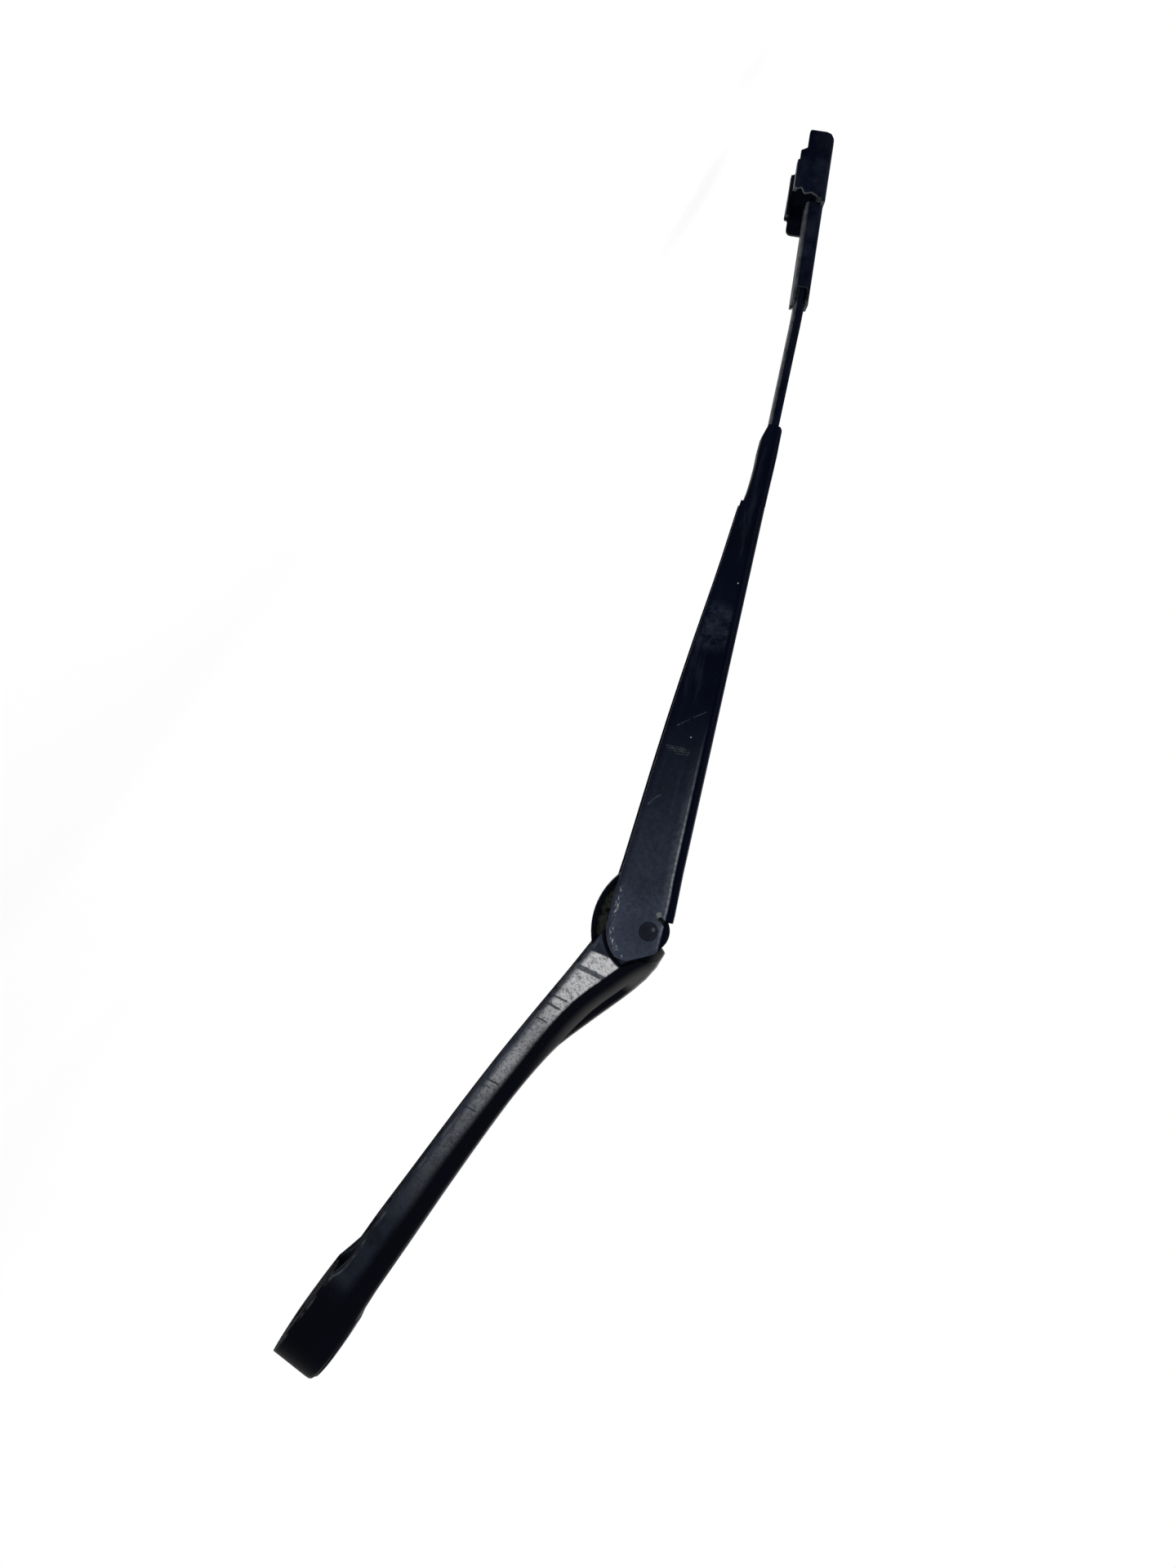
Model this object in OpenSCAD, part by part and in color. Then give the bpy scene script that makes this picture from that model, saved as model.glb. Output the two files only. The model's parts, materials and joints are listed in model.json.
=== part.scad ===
// Front wiper arm, lying relaxed: cast head, hinge with its hook and spring, stamped channel,
// flat rod and stamped blade connector. Sizes are in millimetres. The spindle lies along Z and
// +Z points away from the glass. +X runs from the spindle to the hinge, which lies along Y.

/* [Layout] */
// Distance from the spindle to the hinge
hinge_x = 222.8; // [200:0.2:245]
// Height of the hinge above the spindle datum
hinge_z = 4.3; // [3.8:0.1:4.8]
// Angle that the relaxed upper arm hangs towards the glass
droop = 24; // [20:0.5:26]
// Distance from the hinge to the end of the crimp
channel_len = 220; // [212:1:236]
// Length of bare rod between the crimp and the connector
rod_free = 61; // [52:1:75]

/* [Head] */
// Radius of the round spindle end, in plan
end_r = 16; // [15:0.2:17]
// Height of the spindle end's top above the datum
boss_top = 11.7; // [11.4:0.1:12]
// Thickness of the cast side walls
wall = 2.4; // [2:0.1:2.8]
// Thickness of the cast roof
roof = 2.6; // [2:0.1:3]
// Thickness of the cross ribs under the roof
rib_t = 1.8; // [1.4:0.1:2.4]
// Radius of the spindle bore
bore_r = 4.2; // [3.8:0.05:4.6]
// Length of the plain spindle bore
bore_len = 5; // [4:0.2:5.4]
// Mouth radius of the toothed taper under the bore
taper_r = 6.4; // [6:0.1:7]
// Number of teeth in the taper
taper_teeth = 30; // [24:1:36]
// Height of the nut's seat above the datum
nut_seat = 0.5; // [0.3:0.1:1]
// Radius of the pocket for the nut
pocket_r = 12; // [11:0.1:12.4]

/* [Nut cap] */
// Height of the ledge that the cap sits on
cap_seat = 8.2; // [8:0.1:8.5]
// Width of the head's rim round the cap
cap_rim = 2.2; // [1.8:0.1:2.6]
// Distance from the spindle to the cap's straight front edge
cap_front = 20; // [18:0.5:21]
// Height that the cap stands proud of the head
cap_proud = 0.5; // [0.2:0.1:1]
// Gap round the cap
cap_gap = 0.15; // [0.1:0.05:0.3]

/* [Hinge] */
// Radius of the rivet's shank
rivet_r = 2.5; // [2.2:0.05:2.8]
// Radius of the rivet's heads
rivet_head_r = 3.7; // [3.5:0.1:4.2]
// Height of the rivet's heads
rivet_head_h = 1.5; // [1:0.1:2]
// Outer radius of the distance sleeve
sleeve_r = 3.5; // [3.3:0.05:3.7]
// Wall of the plastic bushes
bush_wall = 1.05; // [0.8:0.05:1.2]
// Thickness of the bush flanges
bush_flange = 0.8; // [0.6:0.1:1]
// Radial running clearance of pins and bushes
run_gap = 0.05; // [0.03:0.01:0.08]
// Thickness of each hinge lug
lug_t = 3.6; // [3:0.1:4]
// Radius of the lugs round the hinge
lug_r = 9.2; // [8.8:0.1:9.4]

/* [Hook and spring] */
// Place of the hook's pin, measured back from the hinge
hook_back = 12; // [11.5:0.1:12.5]
// Place of the hook's pin, measured below the hinge
hook_below = 7.3; // [7:0.1:7.6]
// Radius of the hook's pin
hook_pin_r = 2.2; // [2:0.05:2.4]
// Wall of the plastic liner in the hook's eye
liner_wall = 0.9; // [0.7:0.05:1]
// Distance between the hook's two eyes
hook_len = 40; // [39:0.5:41]
// Depth of the hook's bow under its two eyes
hook_depth = 12.8; // [12.4:0.1:13.2]
// Width of the flanged rim along the bow
hook_rim = 2.2; // [1.8:0.1:2.6]
// Width of the hook across its rim
hook_w = 6; // [5:0.2:6.4]
// Thickness of the hook's plate
hook_t = 3; // [2.4:0.1:3.6]
// Thickness of the spring wire
wire = 2; // [1.8:0.1:2.2]
// Radius of the coil at the middle of its wire
coil_r = 4.6; // [4.4:0.1:4.8]
// Number of turns in the coil
turns = 27; // [24:1:30]
// Distance from the hinge to the rod's spring tab
tab_x = 128; // [126:1:132]
// Depth of the spring's line under the hinge at the tab
tab_drop = 5.5; // [5:0.1:6]

/* [Channel] */
// Outer width of the channel at the hinge
channel_w = 22; // [21:0.2:24]
// Thickness of the channel's sheet
sheet = 1.6; // [1.4:0.05:1.8]
// Outer radius of the channel's long bends
bend_r = 3; // [2.6:0.1:3.4]
// Length of the crimp on the rod
crimp_len = 34; // [32:0.5:36]

/* [Rod] */
// Width of the flat rod
rod_w = 9; // [8:0.2:10]
// Thickness of the flat rod
rod_t = 4.2; // [3.8:0.1:4.4]
// Width of the rod's worn edges
rod_edge = 1; // [0.95:0.05:1.3]
// Play between the rod and the sheet round it
rod_gap = 0.05; // [0.03:0.01:0.1]

/* [Blade connector] */
// Extra angle of the connector towards the glass
conn_tilt = 5.8; // [4:0.2:7]
// Thickness of the connector's sheet
conn_sheet = 1.4; // [1.2:0.1:1.6]
// Outer width of the connector's open end
conn_w = 23; // [21:0.5:25]
// Length of the connector's sleeve on the rod
neck_len = 37; // [35:0.5:40]
// Length of the connector's open end
shoe_len = 25; // [24:0.5:30]
// Depth of the open end's side walls
shoe_depth = 10; // [9.6:0.2:11]

/* [Hidden] */
$fn = 48;
far = 60;

paint = [0.10, 0.11, 0.12];
steel = [0.62, 0.63, 0.65];
plastic = [0.16, 0.16, 0.17];
nylon = [0.85, 0.84, 0.80];

// Stack across the hinge, outwards from the middle
gap_half = channel_w / 2 - sheet;
lug_out = gap_half - bush_flange - run_gap;
lug_in = lug_out - lug_t;
bush_r = sleeve_r + run_gap + bush_wall;
liner_r = hook_pin_r + run_gap + liner_wall;
hook_eye_r = liner_r + 1.9;

// Crown, underside and width of the head, each as [place, value], and the arch's height
head_end = hinge_x + 9;
crown_line = [[-end_r, boss_top - 1.2], [-0.68 * end_r, boss_top - 0.3], [0, boss_top],
              [0.06 * hinge_x, boss_top - 0.6], [0.1 * hinge_x, 10.2], [0.135 * hinge_x, 9.3],
              [0.25 * hinge_x, 7.7], [0.4 * hinge_x, 5.5], [0.55 * hinge_x, 3.9],
              [0.635 * hinge_x, 3.8], [0.72 * hinge_x, 5.2], [0.77 * hinge_x, 8],
              [0.82 * hinge_x, 11.1], [0.875 * hinge_x, 14.6], [0.925 * hinge_x, 17],
              [0.96 * hinge_x, 17.3], [hinge_x, 15.9], [head_end, 14.4]];
base_line = [[-end_r, -9.3], [0, -10.3], [0.09 * hinge_x, -11], [0.125 * hinge_x, -10.9],
             [0.165 * hinge_x, -8.8], [0.22 * hinge_x, -9.4], [0.35 * hinge_x, -10.2],
             [0.5 * hinge_x, -11.1], [0.62 * hinge_x, -11.4], [0.72 * hinge_x, -11.1],
             [0.85 * hinge_x, -10.4], [head_end, -10.3]];
width_line = [[0, end_r], [0.09 * hinge_x, end_r - 0.8], [0.2 * hinge_x, 12.8],
              [0.34 * hinge_x, 11.6], [0.6 * hinge_x, 11.1], [0.88 * hinge_x, channel_w / 2],
              [head_end, channel_w / 2]];
arch_line = [[-end_r, 3.2], [0, 3.5], [0.2 * hinge_x, 5], [0.6 * hinge_x, 5],
             [0.85 * hinge_x, 7], [head_end, 7]];

// Web and flange edges of the channel, and its half width, along the upper arm
crimp_x = channel_len - crimp_len;
web_line = [[-16, 9.5], [10, 9.5], [24, 8.7], [52, 7.8], [88, 6.8], [124, 5.7], [160, 4.6],
            [crimp_x + 6, 3.6], [crimp_x + 21, 3.3], [channel_len, 2.6]];
crimp_h = 2 * sheet + rod_t + 2 * rod_gap;
flange_line = [[-16, -17.9], [10, -17.9], [26, -16.9], [46, -16], [83, -14.2], [120, -11.8],
               [157, -8.8], [crimp_x - 4, -7.3], [crimp_x, -7]];
fold_line = [[crimp_x, -5.9], [crimp_x + 6, -5.1], [crimp_x + 16, -4.8], [crimp_x + 22, -5.1],
             [channel_len, -4.9]];
crimp_half = rod_w / 2 + sheet + rod_gap;
half_line = [[-16, channel_w / 2], [0, channel_w / 2], [24, channel_w / 2],
             [30, channel_w / 2], [70, 10.4], [120, 8.8], [crimp_x - 22, 6.9],
             [crimp_x - 6, crimp_half], [crimp_x - 5, crimp_half], [crimp_x, crimp_half],
             [channel_len, crimp_half]];

// The rod lies under the web, bends towards the glass past the crimp and ends straight
rod_drop = sheet + rod_gap + rod_t / 2;
conn_x = channel_len + rod_free;
conn_z = -4.3;
rod_straight = conn_x - 10;
rod_line = [[channel_len - 8, curve(channel_len - 8, web_line) - rod_drop],
            [channel_len, curve(channel_len, web_line) - rod_drop],
            [channel_len + rod_free / 2, -2.4], [rod_straight, conn_z + 10 * tan(conn_tilt)],
            [conn_x, conn_z]];
conn_half = rod_w / 2 + conn_sheet + rod_gap;
neck_top = rod_t / 2 + rod_gap + conn_sheet;

// Line of the pull, from the hook's pin through both eyes to the rod's tab
pin_at = [-hook_back * cos(droop) + hook_below * sin(droop),
          -hook_back * sin(droop) - hook_below * cos(droop)];
tab_at = [tab_x, -tab_drop];
pull_angle = atan2(tab_at[1] - pin_at[1], tab_at[0] - pin_at[0]);
spring_len = norm(tab_at - pin_at) - hook_len;

// Smooth curve through a list of [place, value]
function span(x, t, i = 0) = i >= len(t) - 2 || x < t[i + 1][0] ? i : span(x, t, i + 1);
function slope(t, i) =
    let (a = t[max(i - 1, 0)], b = t[min(i + 1, len(t) - 1)])
    (b[1] - a[1]) / (b[0] - a[0]);
function curve(x, t) =
    let (i = span(x, t), h = t[i + 1][0] - t[i][0], u = (x - t[i][0]) / h)
    (2 * u * u * u - 3 * u * u + 1) * t[i][1]
    + (u * u * u - 2 * u * u + u) * h * slope(t, i)
    + (3 * u * u - 2 * u * u * u) * t[i + 1][1]
    + (u * u * u - u * u) * h * slope(t, i + 1);

// Points of an arc, and a line of points whose corners are rounded by [x, y, radius]
function arc(c, r, a, b, n = 10) = [for (k = [0:n]) c + r * [cos(a + (b - a) * k / n),
                                                             sin(a + (b - a) * k / n)]];
function unit(v) = v / norm(v);
function turn(v, a) = [v[0] * cos(a) - v[1] * sin(a), v[0] * sin(a) + v[1] * cos(a)];
function flat(p) = [p[0], p[1]];
function corner(a, b, c, n) =
    let (p = unit(flat(a) - flat(b)), q = unit(flat(c) - flat(b)), half = acos(p * q) / 2,
         mid = flat(b) + unit(p + q) * b[2] / sin(half),
         start = flat(b) + p * b[2] / tan(half) - mid,
         way = cross([q[0], q[1]], [p[0], p[1]]) > 0 ? 1 : -1)
    [for (k = [0:n]) mid + turn(start, way * (180 - 2 * half) * k / n)];
function rounded(pts, n = 6) =
    [for (i = [0:len(pts) - 1])
        each pts[i][2] == 0 ? [flat(pts[i])]
            : corner(pts[(i + len(pts) - 1) % len(pts)], pts[i], pts[(i + 1) % len(pts)], n)];
function way(p, i) = unit(p[min(i + 1, len(p) - 1)] - p[max(i - 1, 0)]);
function beside(p, d) = [for (i = [0:len(p) - 1]) p[i] + d * turn(way(p, i), 90)];

// Rings of a cast arch and of a bent channel, both seen along X
arch_steps = 12;
function arch_ring(x, half, base, top, rise) =
    concat([[x, half, base]],
           [for (k = [0:arch_steps])
               let (a = 180 * k / arch_steps, c = cos(a))
               [x, half * sign(c) * pow(abs(c), 0.6), top - rise + rise * pow(sin(a), 0.6)]],
           [[x, -half, base]]);
function bend(half, top, r, n = 4) =
    concat(arc([half - r, top - r], r, 0, 90, n), arc([r - half, top - r], r, 90, 180, n));
function channel_ring(x, half, base, top, r, t) =
    [for (p = concat([[half, base]], bend(half, top, r), [[-half, base], [t - half, base]],
                     [for (q = bend(half - t, top - t, r - t)) [-q[0], q[1]]],
                     [[half - t, base]]))
        [x, p[0], p[1]]];
function box_ring(x, half, low, top, edge) =
    [for (p = [[half, low + edge], [half, top - edge], [half - edge, top], [edge - half, top],
               [-half, top - edge], [-half, low + edge], [edge - half, low],
               [half - edge, low]])
        [x, p[0], p[1]]];

function fold_ring(x, half, low, top, r) =
    [for (p = concat(bend(half, top, r), [for (q = bend(half, -low, r)) [-q[0], -q[1]]]))
        [x, p[0], p[1]]];

// Solid through a row of rings. A bent ring is closed by a strip between its two faces.
function cap(n, bent) = bent
    ? [for (j = [0:n / 2 - 2]) each [[j, j + 1, n - 2 - j], [j, n - 2 - j, n - 1 - j]]]
    : [[for (j = [0:n - 1]) j]];
function flipped(faces, shift) =
    [for (f = faces) [for (j = [len(f) - 1:-1:0]) f[j] + shift]];
module skin(rings, bent = false) {
    n = len(rings[0]);
    last = len(rings) - 1;
    polyhedron(
        points = [for (r = rings) each r],
        faces = concat(cap(n, bent),
                       [for (i = [0:last - 1], j = [0:n - 1])
                           let (a = i * n + j, b = i * n + (j + 1) % n)
                           each [[a, a + n, b + n], [a, b + n, b]]],
                       flipped(cap(n, bent), last * n)));
}

// A side outline in X and Z, as thick as width and centred on the arm
module side(width) {
    rotate([90, 0, 0]) linear_extrude(height = width, center = true) children();
}

module across(r, length) {
    rotate([90, 0, 0]) cylinder(r = r, h = length, center = true);
}

module at_hinge() {
    translate([hinge_x, 0, hinge_z]) children();
}

module in_arm() {
    at_hinge() rotate([0, droop, 0]) children();
}

module in_connector() {
    in_arm() translate([conn_x, 0, conn_z]) rotate([0, conn_tilt, 0]) children();
}

module at_hook_pin() {
    translate([hinge_x - hook_back, 0, hinge_z - hook_below]) children();
}

module along_pull() {
    at_hook_pin() rotate([0, droop - pull_angle, 0]) children();
}

// Cast head
function head_half(x) = x < 0 ? sqrt(end_r * end_r - x * x) : curve(x, width_line);
head_places = concat([for (a = [9:13.5:90]) -end_r * cos(a)],
                     [for (k = [1:36]) head_end * k / 36]);
function head_ring(x, inset, drop, deeper) =
    arch_ring(x, head_half(x) - inset, curve(x, base_line) - deeper,
              curve(x, crown_line) - drop, curve(x, arch_line));

module head_outside(lift = 0) {
    skin([for (x = head_places) head_ring(x, 0, -lift, 0)]);
}

cavity_from = 25;
cavity_to = hinge_x - 26;
rib_places = [0.3, 0.55, 0.78];

module head_cavity() {
    difference() {
        skin([for (k = [0:24])
                let (x = cavity_from + (cavity_to - cavity_from) * k / 24)
                head_ring(x, wall, roof, 4)]);
        for (f = rib_places)
            translate([f * hinge_x, -far / 2, curve(f * hinge_x, base_line) + 3.5])
                cube([rib_t, far, far]);
    }
}

// Plan of the cap, with its round end and straight front
module cap_plan(inset) {
    circle(r = end_r - inset);
    translate([0, inset - end_r]) square([cap_front - inset + cap_rim, 2 * (end_r - inset)]);
}

module toothed_taper() {
    depth = 12;
    top = nut_seat - bore_len;
    mouth = curve(0, base_line);
    steep = (taper_r - bore_r - 0.5) / (top - mouth);
    low_r = bore_r + 0.5 + steep * depth;
    translate([0, 0, top]) mirror([0, 0, 1])
        linear_extrude(height = depth, scale = low_r / (bore_r + 0.5))
            polygon([for (k = [0:2 * taper_teeth - 1])
                        (bore_r + (k % 2 == 0 ? 0.5 : 0.15))
                        * [cos(180 * k / taper_teeth), sin(180 * k / taper_teeth)]]);
}

// Side recess for the channel's flanges, seen along Y from the hinge
lobe_r = 17.8;
flange_clear = lobe_r + 0.6;
crown_clear = 13;
crown_at = 105;
module lug_recess() {
    side(far) polygon(concat(
        arc([0, 0], crown_clear, crown_at, 156), arc([0, 0], flange_clear, 178, 232),
        [[-flange_clear * 0.62, -far], [far, -far], [far, far], [far * cos(crown_at), far]]));
}

// Space in front of the lugs that the channel's web sweeps through
module web_sweep() {
    side(2 * far) polygon(concat(
        arc([0, 0], lug_r, -52, crown_at, 16),
        [far * [cos(crown_at), sin(crown_at)], [far, far], [far, -far], [-4, -far]]));
}

// Slot between the lugs, open to the front and to the glass
module lug_slot() {
    side(2 * lug_in) polygon(concat(
        [[-28, -far], [-28, curve(hinge_x - 28, crown_line) - roof - hinge_z - 2.5],
         [-12, curve(hinge_x - 12, crown_line) - roof - hinge_z - 1]],
        arc([0, 0], lug_r - roof, 106, 86, 4),
        [[2, far], [far, far], [far, -far]]));
}

module arm_head() {
    color(paint) difference() {
        head_outside();
        head_cavity();
        translate([0, 0, cap_seat]) linear_extrude(height = far) cap_plan(cap_rim);
        translate([0, 0, nut_seat]) cylinder(r = pocket_r, h = far);
        translate([0, 0, nut_seat - bore_len - 1]) cylinder(r = bore_r, h = far);
        toothed_taper();
        at_hinge() {
            web_sweep();
            difference() {
                lug_recess();
                side(2 * lug_out) square(4 * far, center = true);
            }
            lug_slot();
            across(bush_r, far);
        }
        at_hook_pin() across(hook_pin_r, far);
    }
}

// Cap over the nut, with a ring that snaps into the pocket
snap_depth = 3.5;
module nut_cap() {
    color(plastic) {
        difference() {
            intersection() {
                head_outside(cap_proud);
                translate([0, 0, cap_seat]) linear_extrude(height = far)
                    cap_plan(cap_rim + cap_gap);
            }
            translate([0, 0, cap_seat - 1]) cylinder(r = pocket_r - 1.6, h = 2.4);
        }
        translate([0, 0, cap_seat - snap_depth]) difference() {
            cylinder(r = pocket_r - cap_gap, h = snap_depth);
            translate([0, 0, -1]) cylinder(r = pocket_r - 1.6, h = snap_depth + 2);
        }
    }
}

// Rivet, riveted over both flanges of the channel
module hinge_rivet() {
    color(steel) at_hinge() {
        across(rivet_r, channel_w);
        for (s = [-1, 1]) rivet_dome(s);
    }
}

module rivet_dome(s) {
    dome_r = (rivet_head_r * rivet_head_r + rivet_head_h * rivet_head_h) / (2 * rivet_head_h);
    rotate([s * -90, 0, 0]) translate([0, 0, channel_w / 2])
        rotate_extrude() intersection() {
            translate([0, rivet_head_h - dome_r]) circle(r = dome_r, $fn = 96);
            square([rivet_head_r, rivet_head_h]);
        }
}

module hinge_sleeve() {
    color(steel) at_hinge() difference() {
        across(sleeve_r, 2 * gap_half);
        across(rivet_r + run_gap, far);
    }
}

// Flanged bush in a lug, on the side given by s
module bush(s) {
    color(nylon) at_hinge() rotate([s * -90, 0, 0]) difference() {
        union() {
            translate([0, 0, lug_in]) cylinder(r = bush_r, h = lug_t);
            translate([0, 0, lug_out]) cylinder(r = bush_r + 2, h = bush_flange);
        }
        cylinder(r = sleeve_r + run_gap, h = far);
    }
}

module near_bush() {
    bush(1);
}

module far_bush() {
    bush(-1);
}

module hook_pin() {
    color(steel) at_hook_pin() across(hook_pin_r, 2 * lug_out);
}

module hook_bush() {
    color(nylon) at_hook_pin() difference() {
        across(liner_r, hook_t + 1.6);
        across(hook_pin_r + run_gap, far);
    }
}

// C-shaped hook: a flat plate with a flanged rim on the glass side, and a notch on its inner
// edge that clears the hinge when the arm is lifted
lift = 68;
hook_ratio = 0.911;
spring_eye_r = wire / 2 + 0.8;
far_eye_r = spring_eye_r + 2.2;
bow_r = 0.78 * hook_len;
bow_mid = [0.235 * hook_len, bow_r - hook_depth];
bow_from = -116;
bow_to = -50;
hook_plate = concat(
    arc(bow_mid, bow_r, bow_from, bow_to, 14),
    [[hook_len, -far_eye_r], [hook_len, far_eye_r], [0.78 * hook_len, 0.8],
     [0.62 * hook_len, -4.2], [0.5 * hook_len, -hook_depth / 2],
     [0.17 * hook_len, -hook_depth / 2], [hook_eye_r - 0.6, -3.2], [hook_eye_r - 0.6, 2],
     [0, hook_eye_r], [-hook_eye_r, 0]]);
lifted_turn = atan2(hook_below, hook_back) + droop - pull_angle - hook_ratio * lift;
lifted_hinge = norm([hook_back, hook_below]) * [cos(lifted_turn), sin(lifted_turn)];
module spring_hook() {
    color(steel) along_pull() difference() {
        union() {
            side(hook_t) polygon(hook_plate);
            side(hook_w) polygon(concat(arc(bow_mid, bow_r, bow_from, bow_to, 14),
                                        arc(bow_mid, bow_r - hook_rim, bow_to, bow_from, 14)));
            across(hook_eye_r, hook_t);
            translate([hook_len, 0, 0]) across(far_eye_r, hook_t);
        }
        across(liner_r, far);
        translate([hook_len, 0, 0]) across(spring_eye_r, far);
        translate([lifted_hinge[0], 0, lifted_hinge[1]]) across(sleeve_r + 0.5, far);
    }
}

// Tension spring: a loop through the hook, the close coil, and a loop round the rod's tab.
// Each place on the wire is [point, direction away from the middle of its turn].
tab_loop = spring_len - 1.05;
coil_from = 2 * coil_r + 2;
coil_to = tab_loop - coil_r - 3;
coil_steps = 9;
wire_sides = 6;
wire_line = concat(
    [for (k = [0:12]) let (a = -150 + 20 * k, out = [-cos(a), sin(a), 0])
        [[coil_r, 0, 0] + coil_r * out, out]],
    [for (k = [0:turns * coil_steps])
        let (a = 360 * k / coil_steps, out = [0, cos(a), sin(a)],
             x = coil_from + (coil_to - coil_from) * k / (turns * coil_steps))
        [[x, 0, 0] + coil_r * out, out]],
    [for (k = [0:12]) let (a = 90 - 20 * k, out = [cos(a), sin(a), 0])
        [[tab_loop, 0, 0] + coil_r * out, out]]);
function wire_ring(i) =
    let (a = wire_line[max(i - 1, 0)][0], b = wire_line[min(i + 1, len(wire_line) - 1)][0],
         along = unit(b - a), out = wire_line[i][1],
         n = unit(out - along * (out * along)), m = cross(along, n))
    [for (j = [0:wire_sides - 1])
        let (t = 360 * j / wire_sides)
        wire_line[i][0] + wire / 2 * (n * cos(t) + m * sin(t))];
module tension_spring() {
    color(steel) along_pull() translate([hook_len, 0, 0])
        skin([for (i = [0:len(wire_line) - 1]) wire_ring(i)]);
}

// Stamped channel: end lobes round the hinge, web and flanges, and the crimp on the rod
web_from = 5.5;
lobe = rounded(concat(
    [[channel_len + 5, -far, 0], [channel_len + 5, far, 0], [web_from, far, 0],
     [web_from, 6.8, 0.3], [7.3, 3.4, 0.6], [5.5, 2.2, 0.6], [3.2, 6.5, 1], [-1.8, 8.3, 4],
     [-8.3, 5.6, 6], [-14.6, -6.5, 4]],
    [for (p = arc([0, 0], lobe_r, 219, 268, 8)) [p[0], p[1], 0]],
    [[22, -lobe_r, 0], [24, -far, 0]]));
channel_places = concat([-16, 0], [for (k = [1:20]) (crimp_x - 6) * k / 20],
                        [crimp_x - 4, crimp_x - 2, crimp_x]);
crimp_steps = 6;
crimp_places = [for (k = [0:crimp_steps]) crimp_x + crimp_len * k / crimp_steps];
module arm_channel() {
    color(paint) in_arm() difference() {
        union() {
            intersection() {
                skin([for (x = channel_places)
                        channel_ring(x, curve(x, half_line), curve(x, flange_line),
                                     curve(x, web_line), bend_r, sheet)], bent = true);
                side(far) polygon(lobe);
            }
            crimp();
        }
        translate([web_from - far, -gap_half, -far]) cube([far, 2 * gap_half, 2 * far]);
        across(rivet_r, far);
    }
}

// The flanges fold under the rod and close on it within the crimp's first stretch
function fold_inner(x) =
    let (shut = min((x - crimp_x) / 10, 1), tight = curve(x, web_line) - crimp_h + sheet)
    tight * shut + (curve(x, fold_line) + sheet) * (1 - shut);
crimp_outline = [[crimp_x - 1, -far], [channel_len - 5, -far],
                 [channel_len - 5, curve(channel_len - 5, fold_line)],
                 [channel_len, curve(channel_len, fold_line) + 1.3],
                 [channel_len, curve(channel_len, web_line) - 1.1],
                 [channel_len - 1.2, curve(channel_len, web_line) + 0.2],
                 [channel_len - 1.2, far], [crimp_x - 1, far]];
module crimp() {
    difference() {
        intersection() {
            skin([for (x = crimp_places)
                    fold_ring(x, crimp_half, curve(x, fold_line), curve(x, web_line), 2.4)]);
            side(far) polygon(crimp_outline);
        }
        skin([for (x = concat([crimp_x - 1], crimp_places, [channel_len + 1]))
                box_ring(x, crimp_half - sheet, fold_inner(max(x, crimp_x)),
                         curve(x, web_line) - sheet, 0.4)]);
        translate([crimp_x - 1, -0.5, -far]) cube([crimp_len + 2, 1, far]);
    }
}

// Flat rod, from its spring tab in the channel to the end in the connector's sleeve
function rod_z(x) = x <= channel_len ? curve(x, web_line) - rod_drop
    : x < rod_straight ? curve(x, rod_line) : conn_z - (x - conn_x) * tan(conn_tilt);
rod_from = tab_x - 2;
tab_t = 3.8;
rod_to = conn_x + (neck_len - 3) * cos(conn_tilt);
rod_places = concat([rod_from], [for (x = channel_places) if (x > rod_from + 1) x],
                    [for (k = [1:crimp_steps]) crimp_places[k]],
                    [for (k = [1:8]) channel_len + (rod_straight - channel_len) * k / 8],
                    [rod_to]);
module blade_rod() {
    color(paint) in_arm() {
        skin([for (x = rod_places)
                box_ring(x, rod_w / 2, rod_z(x) - rod_t / 2, rod_z(x) + rod_t / 2, rod_edge)]);
        translate([rod_from, -2, -tab_drop - 3]) cube([tab_t, 4, rod_z(rod_from) + tab_drop + 2]);
        translate([rod_from, -3.4, -tab_drop - 4.4]) cube([tab_t, 6.8, 1.6]);
    }
}

// Stamped connector: sleeve round the rod, then an open shoe for the blade. The far flange
// reaches further back than the near one, and both have a lip bent inwards.
tongue = 8;
mouth = neck_top - 1.2;
conn_end = neck_len + shoe_len;
shoe_end = [[conn_end - 9, -far, 0], [conn_end - 8, 3 - shoe_depth, 0.8],
            [conn_end - 7.6, -7.2, 0.5], [conn_end, -7.2, 1], [conn_end, neck_top + 0.2, 4],
            [conn_end - 12, neck_top + 0.2, 0], [conn_end - 12, far, 0]];
near_outline = rounded(concat(
    [[neck_len - 3, far, 0], [neck_len - 3, 2, 1], [neck_len - 0.6, -3, 1.2],
     [neck_len - 1.7, -5.8, 1], [neck_len + 1, -7.3, 0.8], [neck_len, -8.9, 0.6],
     [neck_len + 0.5, -shoe_depth - 0.4, 0.5], [conn_end - 13, -shoe_depth - 0.4, 0.3],
     [conn_end - 12.8, 0.3 - shoe_depth, 0.2], [conn_end - 9, 0.3 - shoe_depth, 0]],
    [for (k = [2:6]) shoe_end[k]]), 3);
far_outline = rounded(concat(
    [[neck_len - 10, far, 0], [neck_len - 10, -9.2, 2.2], [neck_len - 4, -9.2, 0.6],
     [neck_len - 3.6, -shoe_depth - 0.8, 0.6], [conn_end - 10, -shoe_depth - 0.4, 0.6],
     [conn_end - 9, 0.3 - shoe_depth, 0]],
    [for (k = [2:6]) shoe_end[k]]), 3);
flare = [[neck_len - 9, conn_half - 1], [neck_len - 6, conn_half + 0.5],
         [neck_len - 3.8, conn_half + 2.2], [neck_len - 2.9, conn_w / 2 - 2]];
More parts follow.
